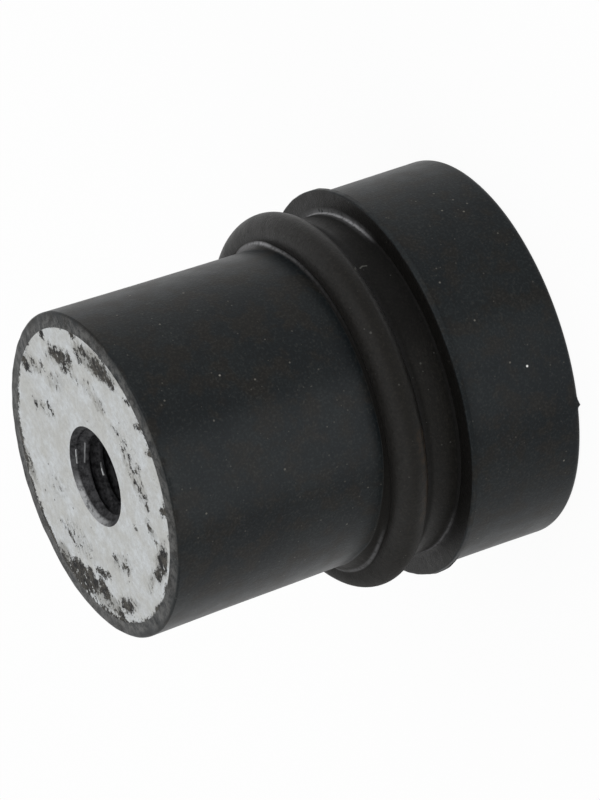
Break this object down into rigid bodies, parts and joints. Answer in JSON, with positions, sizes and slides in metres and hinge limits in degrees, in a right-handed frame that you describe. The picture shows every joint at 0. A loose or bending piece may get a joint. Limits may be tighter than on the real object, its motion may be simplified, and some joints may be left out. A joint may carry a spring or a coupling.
{
  "type": "vibration damper",
  "caption": "Cylindrical rubber vibration damper with a round bead, a retaining groove, a lipped head and a threaded steel insert bonded flush into its slim end.",
  "frame": {"origin": "centre of the head's flat end face, on which the damper stands", "axes": "+Z along the damper's axis, from the head up to the steel insert and out of its threaded hole"},
  "size_m": [0.0256, 0.0256, 0.0285],
  "materials": {
    "rubber": "black moulded rubber, satin, with fine dust specks and a little moulding flash",
    "steel": "matt blasted steel, with smears of rubber flash left on its face"
  },
  "bodies": {
    "root": {"rubber_body": "rubber", "threaded_insert": "steel"}
  },
  "joints": []
}
